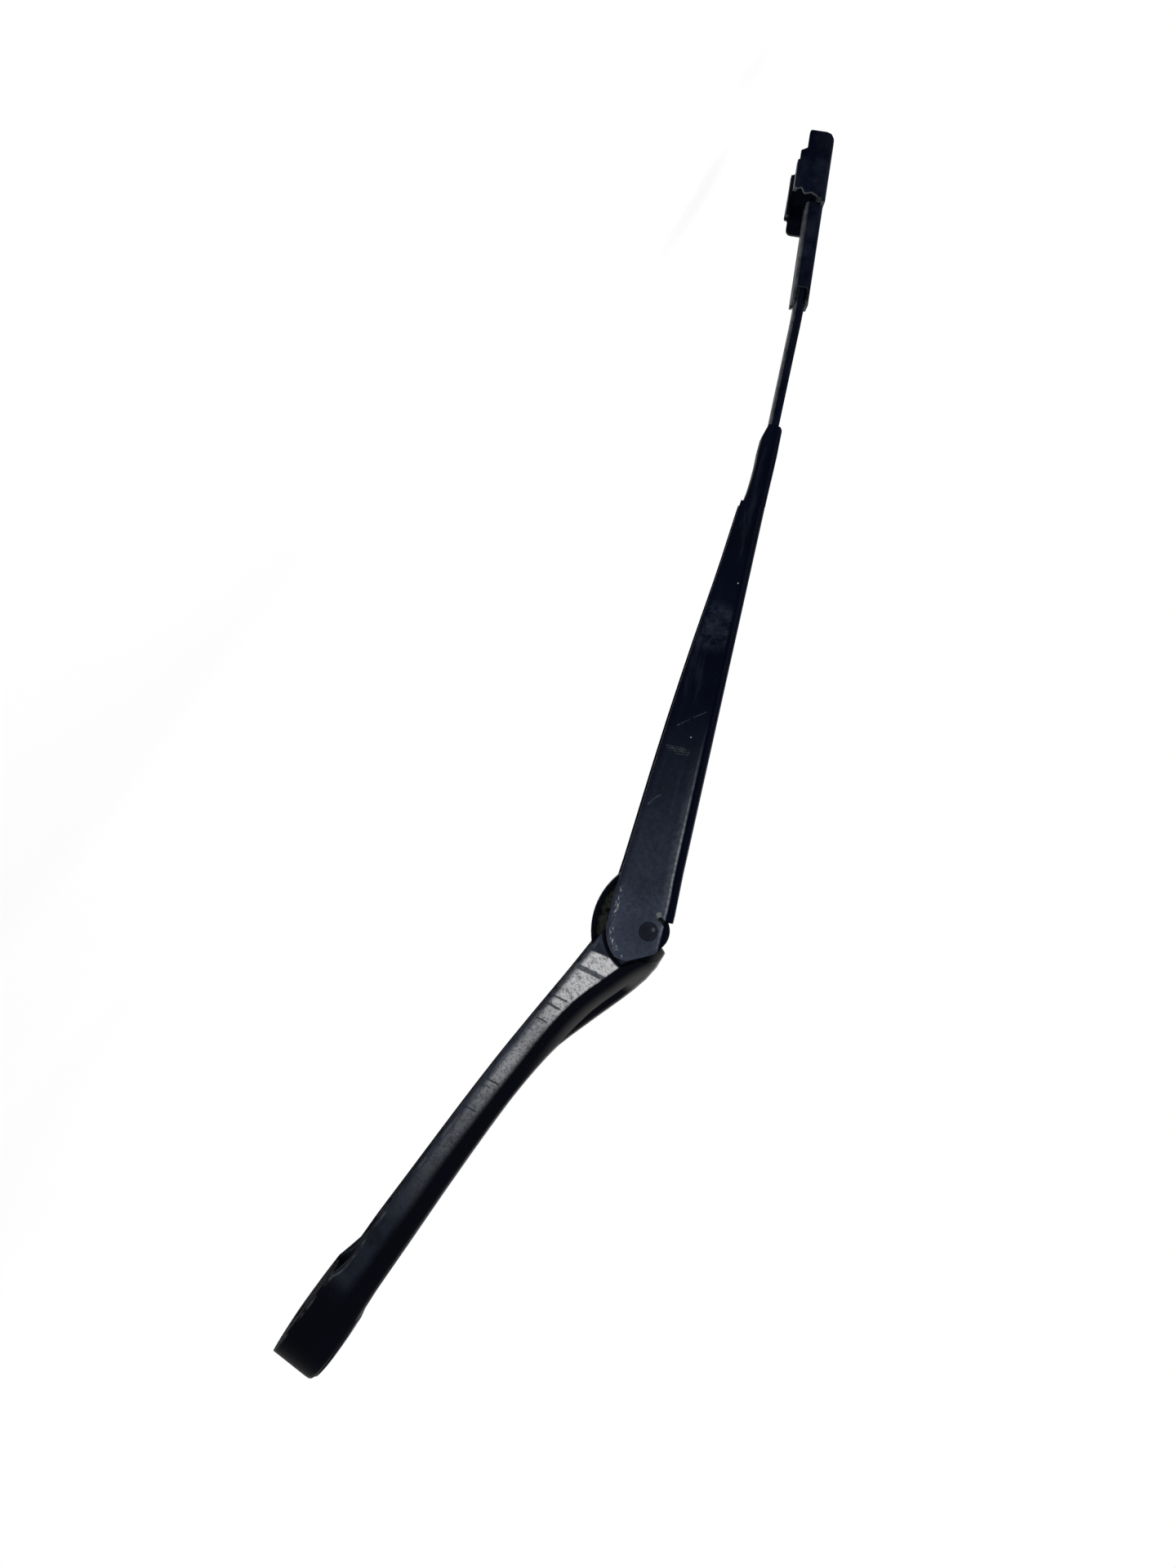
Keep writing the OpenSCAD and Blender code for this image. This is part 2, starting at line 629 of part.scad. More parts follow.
module blade_connector() {
    color(paint) in_connector() {
        difference() {
            intersection() {
                skin([for (x = [-tongue, neck_len - 2])
                        fold_ring(x, conn_half, -neck_top, neck_top, 2)]);
                translate([0, 0, -far / 2]) linear_extrude(height = far) polygon(rounded(
                    [[-tongue, -conn_half, 3.4], [neck_len, -conn_half, 0],
                     [neck_len, conn_half, 0], [-tongue, conn_half, 3.4]]));
            }
            skin([for (x = [-tongue - 1, neck_len - 1])
                    box_ring(x, rod_w / 2 + rod_gap, -rod_t / 2 - rod_gap,
                             rod_t / 2 + rod_gap, 0.4)]);
            side(far) polygon(rounded([[-far, -mouth, 0], [-1, -mouth, 1.2], [-1, mouth, 1.2],
                                       [-far, mouth, 0]]));
            translate([-tongue - 1, -0.6, -far]) cube([neck_len + tongue + 2, 1.2, far]);
        }
        shoe();
    }
}

module shoe() {
    intersection() {
        skin([for (x = [neck_len - 11, conn_end])
                channel_ring(x, conn_w / 2, -shoe_depth - 1, neck_top, 2.4, conn_sheet)],
             bent = true);
        union() {
            translate([0, far / 2, 0]) side(far) polygon(near_outline);
            translate([0, -far / 2, 0]) side(far) polygon(far_outline);
        }
        union() {
            translate([0, 0, -far]) linear_extrude(height = 2 * far)
                polygon(concat(flare, [[conn_end + 1, conn_w], [conn_end + 1, -conn_w]],
                               [for (k = [3:-1:0]) [flare[k][0], -flare[k][1]]]));
            for (s = [-1, 1])
                translate([neck_len - 11, s * conn_w / 2 - 2.5, -far]) cube([20, 5, far]);
        }
    }
    translate([neck_len + 0.6, conn_w / 2 - 4.5, -shoe_depth - 0.4])
        cube([conn_end - 13.2 - neck_len, 3.6, conn_sheet]);
    translate([neck_len - 3, 0.9 - conn_w / 2, -shoe_depth - 0.6])
        cube([conn_end - 7.6 - neck_len, 3.6, conn_sheet]);
}

arm_head();
nut_cap();
hinge_rivet();
hinge_sleeve();
near_bush();
far_bush();
hook_pin();
hook_bush();
spring_hook();
tension_spring();
arm_channel();
blade_rod();
blade_connector();
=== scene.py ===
"""Looks of a relaxed front wiper arm: painted casting, stamped steel, rivet, hook and spring."""

import json
import math

import bmesh
import bpy
from mathutils import Matrix, Vector


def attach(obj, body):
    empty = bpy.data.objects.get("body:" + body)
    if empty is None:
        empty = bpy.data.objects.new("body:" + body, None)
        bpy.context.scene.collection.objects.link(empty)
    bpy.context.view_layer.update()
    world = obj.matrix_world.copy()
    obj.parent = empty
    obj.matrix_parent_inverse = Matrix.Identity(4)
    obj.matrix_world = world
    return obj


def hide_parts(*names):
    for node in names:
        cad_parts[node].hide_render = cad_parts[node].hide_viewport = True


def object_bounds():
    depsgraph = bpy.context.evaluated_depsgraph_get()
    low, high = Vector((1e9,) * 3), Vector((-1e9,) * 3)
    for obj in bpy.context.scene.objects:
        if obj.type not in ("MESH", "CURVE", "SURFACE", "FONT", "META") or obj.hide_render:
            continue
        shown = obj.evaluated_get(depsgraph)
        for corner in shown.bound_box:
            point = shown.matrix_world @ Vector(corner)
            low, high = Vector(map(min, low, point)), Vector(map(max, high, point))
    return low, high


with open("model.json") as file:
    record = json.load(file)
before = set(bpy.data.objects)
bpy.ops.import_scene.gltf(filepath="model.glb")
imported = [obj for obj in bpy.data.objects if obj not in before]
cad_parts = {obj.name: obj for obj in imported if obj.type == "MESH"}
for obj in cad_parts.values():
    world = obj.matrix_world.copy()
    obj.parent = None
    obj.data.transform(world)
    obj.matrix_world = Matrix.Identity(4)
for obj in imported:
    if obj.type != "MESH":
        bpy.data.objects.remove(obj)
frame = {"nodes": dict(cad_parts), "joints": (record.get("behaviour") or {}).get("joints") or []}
CAD_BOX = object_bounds()
MM = 0.001

# Middle of the hinge, and how far the relaxed upper arm droops from the head
HINGE = next(j for j in frame["joints"] if j["name"] == "arm_hinge")["pos_m"]
DROOP = math.radians(24)

bl_info = {
    "name": "Wiper arm looks",
    "version": (1, 0, 0),
    "blender": (4, 5, 0),
    "location": "View3D > Sidebar > Wiper arm",
    "description": "Builds the finish, the wear and the stage of a wiper arm",
    "category": "Object",
}


def paint_tone(name, description, default):
    """A colour property of the arm's finishes."""
    return bpy.props.FloatVectorProperty(
        name=name,
        description=description,
        subtype="COLOR",
        size=3,
        min=0.0,
        max=1.0,
        default=default,
    )


class WiperPaintSettings(bpy.types.PropertyGroup):
    """Colours and wear of the painted pieces, and the tones used for painted sheen, reflection and
    shade.
    """

    deep: paint_tone("Deep", "Clean paint of all the pieces", (0.0005, 0.0012, 0.0052))
    # Black of the head; on the shoulders it also stands for painted shade, and it paints the shadow
    # round the lobe
    shoulder: paint_tone("Shoulder", "Gloss black shoulders of the casting", (0.0004, 0.0008, 0.0028))
    # Grey of dusty paint; on the flanks towards the hinge it also stands for a painted sheen
    dust_and_sheen: paint_tone("Dusty", "Paint that dust and sun have greyed", (0.029, 0.036, 0.054))
    worn: paint_tone("Worn", "Bare casting in the worn patch", (0.50, 0.50, 0.51))
    pitted: paint_tone("Pitted", "Dark pits in the worn patch", (0.11, 0.113, 0.12))
    # Grey of the painted reflection along the crown
    crown: paint_tone("Crown", "Grey bloom along the crown", (0.050, 0.050, 0.051))
    chip: paint_tone("Chips", "Colour of the chipped edges", (0.34, 0.36, 0.37))
    grease: paint_tone("Grease", "Old grease round the hook", (0.034, 0.038, 0.031))
    grain: bpy.props.FloatProperty(
        name="Grain", description="Size of the paint's grain", default=0.0006, unit="LENGTH"
    )
    edge: bpy.props.FloatProperty(
        name="Edge", description="Width of the rounded edges", default=0.0003, unit="LENGTH"
    )


class WiperStageSettings(bpy.types.PropertyGroup):
    """Camera, floor and lights."""

    distance: bpy.props.FloatProperty(
        name="Distance",
        description="From the camera to the near side of the arm",
        default=0.523,
        unit="LENGTH",
    )
    lens: bpy.props.FloatProperty(
        name="Lens", description="Focal length of the camera", default=28.68, unit="CAMERA"
    )
    roll: bpy.props.FloatProperty(
        name="Roll",
        description="Angle of the head above the picture's lower edge",
        default=math.radians(51.6),
        unit="ROTATION",
    )
    gap: bpy.props.FloatProperty(
        name="Gap",
        description="From the floor to the arm's lowest point",
        default=0.03,
        unit="LENGTH",
    )
    floor_tone: paint_tone("Floor", "Colour of the floor", (0.86, 0.86, 0.86))


# Node building

class Graph:
    """A material's node tree, built one call at a time."""

    def __init__(self, name):
        self.material = bpy.data.materials.new(name)
        self.material.use_nodes = True
        self.tree = self.material.node_tree
        self.tree.nodes.clear()
        self.output = self.add("ShaderNodeOutputMaterial")
        inputs = self.add("ShaderNodeTexCoord").outputs
        self.place = inputs["Object"]
        self.facing = inputs["Normal"]

    def add(self, kind, **values):
        """A node, with its inputs and settings taken from the keyword values."""
        node = self.tree.nodes.new(kind)
        for key, value in values.items():
            name = key.replace("_", " ")
            socket = next((s for s in node.inputs if s.name.lower() == name), None)
            if socket is None:
                setattr(node, key, value)
            elif isinstance(value, bpy.types.NodeSocket):
                self.tree.links.new(value, socket)
            else:
                socket.default_value = value
        return node

    def noise(self, scale, detail=4.0, rough=0.55, place=None):
        """Noise between 0 and 1, scale in features per metre."""
        node = self.add(
            "ShaderNodeTexNoise", scale=scale, detail=detail, roughness=rough,
            vector=place or self.place,
        )
        return node.outputs["Fac"]

    def upper_arm(self):
        """Places measured from the hinge, along and across the upper arm."""
        back = Matrix.Rotation(-DROOP, 3, "Y") @ Vector(HINGE)
        node = self.add("ShaderNodeMapping", vector=self.place)
        node.inputs["Location"].default_value = -back
        node.inputs["Rotation"].default_value = (0.0, -DROOP, 0.0)
        return node.outputs["Vector"]

    def stretched(self, place, size):
        """A place scaled along each axis."""
        node = self.add("ShaderNodeMapping", vector=place)
        node.inputs["Scale"].default_value = size
        return node.outputs["Vector"]

    def ramp(self, value, low, high, start=0.0, end=1.0, smooth=True):
        """Value spread from start to end as it goes from low to high."""
        node = self.add("ShaderNodeMapRange")
        node.interpolation_type = "SMOOTHSTEP" if smooth else "LINEAR"
        self.tree.links.new(value, node.inputs["Value"])
        node.inputs["From Min"].default_value = low
        node.inputs["From Max"].default_value = high
        node.inputs["To Min"].default_value = start
        node.inputs["To Max"].default_value = end
        return node.outputs["Result"]

    def math(self, operation, first, second=0.0):
        """One arithmetic step."""
        node = self.add("ShaderNodeMath", operation=operation)
        for socket, value in zip(node.inputs, (first, second)):
            if isinstance(value, bpy.types.NodeSocket):
                self.tree.links.new(value, socket)
            else:
                socket.default_value = value
        return node.outputs["Value"]

    def times(self, *values):
        """The product of several masks."""
        result = values[0]
        for value in values[1:]:
            result = self.math("MULTIPLY", result, value)
        return result

    def plus(self, first, second):
        """The sum of two values."""
        return self.math("ADD", first, second)

    def minus(self, first, second):
        """The first value less the second."""
        return self.math("SUBTRACT", first, second)

    def axes(self, place=None):
        """X, Y and Z of a place."""
        node = self.add("ShaderNodeSeparateXYZ", vector=place or self.place)
        return node.outputs["X"], node.outputs["Y"], node.outputs["Z"]

    def blend(self, share, first, second):
        """Two colours mixed by a mask."""
        node = self.add("ShaderNodeMix", data_type="RGBA")
        for key, value in (("Factor", share), ("A", first), ("B", second)):
            socket = next(
                s for s in node.inputs
                if s.name == key and (s.type == "RGBA") == (key != "Factor") and s.enabled
            )
            if isinstance(value, bpy.types.NodeSocket):
                self.tree.links.new(value, socket)
            else:
                socket.default_value = value if isinstance(value, float) else (*value, 1.0)
        return next(s for s in node.outputs if s.type == "RGBA")

    def shaded(self, colour, shade):
        """A colour made darker or lighter."""
        node = self.add("ShaderNodeVectorMath", operation="SCALE")
        self.tree.links.new(colour, node.inputs[0])
        self.tree.links.new(shade, node.inputs["Scale"])
        return node.outputs[0]

    def along(self, value, points, unit=1.0):
        """A curve over a length in metres, through points of (millimetres, height)."""
        first, last = points[0][0], points[-1][0]
        low, high = min(p[1] for p in points), max(p[1] for p in points)
        node = self.add("ShaderNodeFloatCurve")
        place = self.ramp(value, first * MM, last * MM, smooth=False)
        self.tree.links.new(place, node.inputs["Value"])
        spots = [((x - first) / (last - first), (h - low) / (high - low)) for x, h in points]
        curve = node.mapping.curves[0]
        curve.points[0].location = spots[0]
        curve.points[1].location = spots[-1]
        for spot in spots[1:-1]:
            curve.points.new(*spot)
        node.mapping.update()
        return self.ramp(node.outputs["Value"], 0.0, 1.0, low * unit, high * unit, smooth=False)

    def line(self, value, middle, width, soft=0.5):
        """1 in the middle of a band, 0 beside it."""
        away = self.math("ABSOLUTE", self.minus(value, middle))
        return self.ramp(away, width / 2, width / 2 * (1 - soft))

    def stroke(self, first, second, start, end, width):
        """1 along a thin straight scratch between two spots, given in millimetres."""
        length = math.dist(start, end)
        run, rise = ((b - a) / length for a, b in zip(start, end))
        first = self.minus(first, start[0] * MM)
        second = self.minus(second, start[1] * MM)
        passed = self.plus(self.times(first, run), self.times(second, rise))
        aside = self.minus(self.times(second, run), self.times(first, rise))
        inside = self.line(passed, length * MM / 2, length * MM, 0.3)
        return self.times(inside, self.line(aside, 0.0, width, 0.8))

    def dot(self, first, second, middle, width):
        """1 in a round spot, its middle given in millimetres."""
        away = self.reach(self.minus(first, middle[0] * MM), self.minus(second, middle[1] * MM))
        return self.line(away, 0.0, width)

    def reach(self, first, second):
        """Distance from the origin in a plane."""
        squares = [self.math("POWER", value, 2.0) for value in (first, second)]
        return self.math("SQRT", self.plus(*squares))

    def any_of(self, masks):
        """The strongest of several masks."""
        result = masks[0]
        for mask in masks[1:]:
            result = self.math("MAXIMUM", result, mask)
        return result

    def bump(self, height, depth):
        """A bump of some depth in metres."""
        node = self.add("ShaderNodeBump", height=height, strength=1.0, distance=depth)
        return node.outputs["Normal"]

    def finish(self, colour, rough, normal=None, specular=0.03, metallic=0.0):
        """Ends the material in a shader."""
        shader = self.add("ShaderNodeBsdfPrincipled")
        for key, value in (("Base Color", colour), ("Roughness", rough), ("Metallic", metallic)):
            if isinstance(value, bpy.types.NodeSocket):
                self.tree.links.new(value, shader.inputs[key])
            else:
                shader.inputs[key].default_value = value
        shader.inputs["Specular IOR Level"].default_value = specular
        if normal is not None:
            self.tree.links.new(normal, shader.inputs["Normal"])
        self.tree.links.new(shader.outputs["BSDF"], self.output.inputs["Surface"])
        return self.material


# Lines of the casting and the sheet, as (millimetres along, millimetres up)
SHOULDER = (
    (-16, 3.0), (30, 0.5), (64, -0.8), (100, -3.0), (152, -3.8), (168, -3.4), (178, -2.4),
    (186, -0.8), (194, 1.5), (204, 4.4), (212, 7.8),
)
BASE = (
    (-16, -9.3), (20, -11.0), (28, -10.9), (37, -8.8), (49, -9.4), (111, -11.1),
    (138, -11.4), (208, -10.3),
)
WEB = (
    (-16, 9.5), (10, 9.5), (24, 8.7), (52, 7.8), (88, 6.8), (124, 5.7), (160, 4.6),
    (192, 3.6), (220, 2.6),
)
FLANGE = (
    (-16, -17.9), (10, -17.9), (26, -16.9), (46, -16.0), (83, -14.2), (120, -11.8),
    (157, -8.8), (186, -7.0),
)

# Width of the casting's soft shoulder, as (millimetres along, millimetres)
SOFT_SHOULDER = ((20, 4.0), (150, 3.2), (178, 1.2), (210, 0.9))

# Strength of dust with a painted sheen that grows towards the hinge, of wear that also grows with
# that painted sheen, of chips and of the painted highlight along the bend, as (millimetres along,
# share)
HEAD_DUST_AND_SHEEN = (
    (-16, 0.0), (22, 0.02), (34, 0.5), (56, 0.55), (90, 0.7), (130, 1.0), (212, 1.0),
)
HEAD_WEAR_AND_SHEEN = (
    (60, 0.0), (84, 0.05), (106, 0.12), (128, 0.27), (146, 0.46), (156, 0.4), (170, 0.62),
    (182, 0.88), (210, 1.0),
)
SHEET_DUST_AND_SHEEN = (
    (-18, 1.0), (2, 1.0), (12, 0.85), (24, 0.62), (40, 0.47), (55, 0.34), (70, 0.22),
    (85, 0.09), (100, 0.03), (240, 0.02),
)
CHIPPED = ((-15, 0.2), (-10, 1.0), (-3, 0.6), (3, 0.9), (10, 1.0), (14, 0.5), (20, 0.0))
LIT_BEND = ((-8, 0.0), (8, 0.7), (32, 1.0), (42, 0.85), (58, 0.4), (86, 0.0))

# Plain bands across the worn patch, as (millimetres along, width, height they reach)
CROSS_BANDS = (
    (193.6, 3.0, 3.0), (177.8, 1.1, -4.6), (173.5, 1.5, -5.0), (166.1, 1.0, -6.0),
    (133.0, 0.9, -5.6), (118.3, 1.0, -6.0),
)

# Scratches and specks of the upper arm, in millimetres along and across it
SCRATCHES = (
    ((77.6, -12.6), (78.2, -3.2)), ((76.7, -12.2), (77.6, -1.4)), ((75.9, -11.4), (76.8, -0.6)),
    ((75.1, -8.2), (75.8, -1.6)), ((51.2, -13.7), (54.5, -11.7)), ((54.5, -11.7), (57.3, -8.6)),
    ((86.4, -10.1), (91.0, -4.7)), ((91.0, -4.7), (95.7, 1.5)),
)
SPECKS = ((151.3, 0.4), (83.3, -2.9))

# Places on the sheet, in millimetres along and across the upper arm
WIPED_SPOT = (131.0, -4.0)
BENT_TONGUE = (7.8, 2.6)

# Colours of fine dust, of the painted highlights along the head's base edge, the channel's bend and
# the bars' rims, and of rubbed paint on the tongue
FINE_DUST = (0.3, 0.31, 0.32)
BASE_EDGE_HIGHLIGHT = (0.2, 0.205, 0.215)
BEND_HIGHLIGHT_TONE = (0.2, 0.21, 0.225)
BAR_RIM_LIGHT_TONE = (0.075, 0.08, 0.088)
RUBBED_TONGUE = (0.10, 0.112, 0.108)

# Specular level of the surfaces that differ from the casting
SHEET_GLOSS = 0.012
PLASTIC_GLOSS = 0.06
STEEL_GLOSS = 0.1

# Share of grey on the rod and on the connector
GREY_ROD = 0.06
GREY_CONNECTOR = 0.18

# Radius of the channel's lobe round the hinge, in millimetres
LOBE = 17.8

# Across the arm, in millimetres, from where wear fades to where it is full on the near side
WORN_SIDE = (-4, 6)


def satin(graph, colour, place=None):
    """Cloudy colour, roughness and fine relief that all the arm's paint shares."""
    grain = bpy.context.scene.wiper_paint.grain
    cloud = graph.noise(38.0, 5.0, 0.6, place)
    fine = graph.noise(1.0 / grain, 4.0, 0.62, place)
    mixed = graph.plus(cloud, graph.times(fine, 0.5))
    shade = graph.ramp(mixed, 0.5, 1.0, 0.55, 1.35, False)
    dust = graph.ramp(graph.noise(1300.0, 2.0, 0.6, place), 0.70, 0.78, 0.0, 0.05)
    colour = graph.blend(dust, graph.shaded(colour, shade), FINE_DUST)
    rough = graph.ramp(cloud, 0.25, 0.75, 0.3, 0.42)
    return colour, rough, graph.bump(fine, 0.06 * MM)


def near_side(graph, across, least):
    """Full strength on the near side of the arm, and the least share on the far side."""
    far, near = WORN_SIDE
    return graph.ramp(across, far * MM, near * MM, least, 1.0)


def casting_paint():
    """Paint of the cast head: sides greyed by dust and a painted sheen, black shoulders kept dark as
    painted shade, a painted grey reflection on the crown, a painted shadow round the lobe, a painted
    highlight on the base edge and a worn silver patch.
    """
    paint = bpy.context.scene.wiper_paint
    graph = Graph("casting_paint")
    x, y, z = graph.axes()
    above = graph.minus(z, graph.along(x, SHOULDER, MM))
    depth = graph.math("DIVIDE", above, graph.along(x, SOFT_SHOULDER, MM))
    from_base = graph.minus(z, graph.along(x, BASE, MM))
    from_hinge = graph.reach(graph.minus(x, HINGE[0]), graph.minus(z, HINGE[2]))

    smudge = graph.ramp(graph.noise(85.0, 5.0, 0.6), 0.3, 0.62, 0.35, 1.0)
    # Grey below the shoulder line is dust with a painted sheen that grows towards the hinge; above
    # the line the black is kept as painted shade
    below = graph.ramp(depth, 0.15, -1.0)
    greyed = graph.times(graph.along(x, HEAD_DUST_AND_SHEEN), below, smudge, 0.72)
    colour = graph.blend(greyed, paint.shoulder, paint.dust_and_sheen)
    colour, rough, normal = satin(graph, colour)
    # Painted reflection: grey along the crown, with a painted shadow crescent left black near the
    # hinge
    colour = graph.blend(painted_crown_reflection(graph, above), colour, paint.crown)
    worn = worn_patch(graph, depth, from_base, from_hinge)
    colour = graph.blend(worn, colour, pitted_metal(graph))

    # Painted shadow: a dark ring round the hinge, just below the shoulder line, where the channel's
    # lobe stands proud of the head
    lobe_gap_shadow = graph.times(
        graph.line(from_hinge, 18.7 * MM, 2.0 * MM), graph.ramp(above, 2.5 * MM, 0.5 * MM)
    )
    colour = graph.blend(lobe_gap_shadow, colour, paint.shoulder)
    parting = graph.stroke(x, z, (210.6, 5.2), (209.2, 8.8), 0.4 * MM)
    parting = graph.times(parting, near_side(graph, y, 0.3), 0.3)
    colour = graph.blend(parting, colour, paint.dust_and_sheen)
    # Painted highlight: a light line along the base edge, broken up by noise
    painted_rim_light = graph.times(
        graph.line(from_base, 0.8 * MM, 1.1 * MM), graph.ramp(graph.noise(120.0), 0.4, 0.6), 0.16
    )
    colour = graph.blend(painted_rim_light, colour, BASE_EDGE_HIGHLIGHT)

    rim = graph.ramp(graph.axes(graph.facing)[2], -0.6, -0.9)
    rough = graph.plus(rough, graph.any_of((graph.times(rim, 0.5), 0.12)))
    return graph.finish(colour, rough, normal)


def painted_crown_reflection(graph, above):
    """Share of painted grey reflection along the crown, round a painted dark shadow crescent near the
    hinge.
    """
    x, y, _ = graph.axes()
    # Painted shadow: a dark crescent along the crown's edge near the hinge, where no grey is laid
    crescent = graph.times(
        graph.ramp(above, 7.9 * MM, 8.3 * MM), graph.ramp(x, 202 * MM, 196 * MM)
    )
    return graph.times(
        graph.ramp(above, 3.4 * MM, 9.0 * MM),
        graph.minus(1.0, crescent),
        graph.ramp(x, 136 * MM, 170 * MM),
        graph.ramp(graph.math("ABSOLUTE", y), 1.0 * MM, 7.5 * MM, 0.2, 1.0),
    )


def worn_patch(graph, depth, from_base, from_hinge):
    """Share of bare metal on the head's sides, with plain bands left across it; its strength grows
    towards the hinge partly as a painted sheen.
    """
    x, y, z = graph.axes()
    leaning = graph.minus(x, graph.times(graph.plus(z, 8.4 * MM), 0.2))
    waver = graph.ramp(graph.noise(240.0, 3.0), 0.3, 0.7, -0.15 * MM, 0.15 * MM, False)
    wavy = graph.plus(leaning, waver)
    bands = [
        graph.times(
            graph.line(wavy, place * MM, width * MM),
            graph.ramp(z, (top + 1.2) * MM, top * MM),
        )
        for place, width, top in CROSS_BANDS
    ]
    plain = graph.minus(1.0, graph.times(graph.any_of(bands), 0.85))
    slanted = graph.minus(leaning, graph.times(from_base, 0.08))
    return graph.times(
        graph.along(x, HEAD_WEAR_AND_SHEEN),
        graph.ramp(depth, 0.2, -0.75),
        graph.ramp(from_base, 0.4 * MM, 3.0 * MM),
        graph.ramp(from_hinge, 19.2 * MM, 20.0 * MM),
        graph.ramp(slanted, 202.4 * MM, 201.4 * MM),
        plain,
        near_side(graph, y, 0.3),
    )


def pitted_metal(graph):
    """Colour of the bare casting, with fine dark pits."""
    paint = bpy.context.scene.wiper_paint
    mottle = graph.ramp(graph.noise(520.0, 6.0, 0.78), 0.34, 0.52)
    pits = graph.ramp(graph.noise(1100.0, 5.0, 0.8), 0.34, 0.52)
    return graph.blend(graph.times(mottle, pits), paint.pitted, paint.worn)


def sheet_paint():
    """Paint of the stamped channel: greyed towards the hinge by dust and a painted sheen, chipped
    there, with a painted highlight along the bend and a painted shadow round the rivet.
    """
    paint = bpy.context.scene.wiper_paint
    graph = Graph("sheet_paint")
    arm = graph.upper_arm()
    u, _, w = graph.axes(arm)
    from_web = graph.minus(w, graph.along(u, WEB, MM))
    from_edge = graph.minus(w, graph.along(u, FLANGE, MM))
    from_rivet = graph.reach(u, w)

    # Grey on the flank is dust with a painted sheen that grows towards the hinge
    greyed = greyed_flank(graph, arm, from_web, from_edge)
    colour = graph.blend(greyed, paint.deep, paint.dust_and_sheen)
    colour, rough, normal = satin(graph, colour, arm)
    # Painted highlight along the long bend between flank and web
    bend = graph.times(painted_bend_highlight(graph, arm, from_web), 0.85)
    colour = graph.blend(bend, colour, BEND_HIGHLIGHT_TONE)
    # Painted shadow: a dark ring where the rivet head sits on the sheet
    rivet_contact_shadow = graph.times(graph.line(from_rivet, 3.7 * MM, 1.0 * MM), 0.8)
    colour = graph.blend(rivet_contact_shadow, colour, paint.deep)

    broken = graph.ramp(graph.noise(900.0, 4.0, 0.7, arm), 0.42, 0.62, 0.02, 0.15)
    marks = [
        graph.times(graph.stroke(u, w, start, end, 0.6 * MM), broken)
        for start, end in SCRATCHES
    ]
    marks += [graph.times(graph.dot(u, w, speck, 0.8 * MM), 0.6) for speck in SPECKS]
    marks.append(graph.times(edge_chips(graph, arm, from_edge, from_rivet), 0.9))
    colour = graph.blend(graph.any_of(marks), colour, paint.chip)
    tongue = graph.times(
        graph.dot(u, w, BENT_TONGUE, 3.2 * MM), graph.ramp(graph.noise(900.0), 0.3, 0.55)
    )
    colour = graph.blend(tongue, colour, RUBBED_TONGUE)
    rough = graph.plus(rough, graph.times(greyed, 0.12))
    return graph.finish(colour, rough, normal, SHEET_GLOSS)


def greyed_flank(graph, arm, from_web, from_edge):
    """Share of grey on the channel's sides, dust with a painted sheen towards the hinge, with smears
    and one wiped spot.
    """
    u, _, w = graph.axes(arm)
    flank = graph.ramp(from_web, -3.4 * MM, -4.2 * MM)
    leather = graph.ramp(graph.noise(620.0, 5.0, 0.65, arm), 0.3, 0.7, 0.72, 1.2, False)
    low_edge = graph.ramp(from_edge, 0.8 * MM, 3.6 * MM, 0.6, 1.0)
    greyed = graph.times(graph.along(u, SHEET_DUST_AND_SHEEN), flank, leather, low_edge)
    streaks = graph.stretched(arm, (30.0, 30.0, 210.0))
    smear = graph.ramp(graph.noise(1.0, 4.0, 0.6, streaks), 0.56, 0.7, 0.0, 0.12)
    greyed = graph.plus(greyed, graph.times(smear, flank))
    patchy = graph.ramp(graph.noise(300.0, 5.0, 0.7, arm), 0.35, 0.65)
    wiped = graph.times(graph.dot(u, w, WIPED_SPOT, 26 * MM), patchy, 0.3)
    return graph.plus(greyed, graph.times(wiped, flank))


def painted_bend_highlight(graph, arm, from_web):
    """Share of painted highlight along the long bend: a thin bright line in a faint painted sheen."""
    u = graph.axes(arm)[0]
    glow = graph.times(
        graph.ramp(from_web, -8.6 * MM, -4.2 * MM), graph.ramp(from_web, -3.6 * MM, -4.2 * MM), 0.2
    )
    bright = graph.line(from_web, -4.4 * MM, 1.5 * MM, 0.9)
    patchy = graph.ramp(graph.noise(620.0, 5.0, 0.7, arm), 0.35, 0.6, 0.4, 1.0)
    return graph.times(graph.any_of((bright, glow)), graph.along(u, LIT_BEND), patchy)


def edge_chips(graph, arm, from_edge, from_rivet):
    """Chips just inside the flange's edge and round the lobe at the hinge."""
    u, y, w = graph.axes(arm)
    beyond_lobe = graph.ramp(u, -2 * MM, 2 * MM, 0.0, 50 * MM)
    from_lobe = graph.plus(graph.minus(LOBE * MM, from_rivet), beyond_lobe)
    inward = graph.math("MINIMUM", from_edge, from_lobe)
    flakes = graph.noise(1050.0, 6.0, 0.72, graph.stretched(arm, (0.4, 1.0, 1.3)))
    return graph.times(
        graph.line(inward, 2.4 * MM, 2.6 * MM, 0.9),
        graph.ramp(flakes, 0.53, 0.60),
        graph.along(u, CHIPPED),
        graph.ramp(w, 2 * MM, -6 * MM, 0.3, 1.0),
        near_side(graph, y, 0.2),
    )


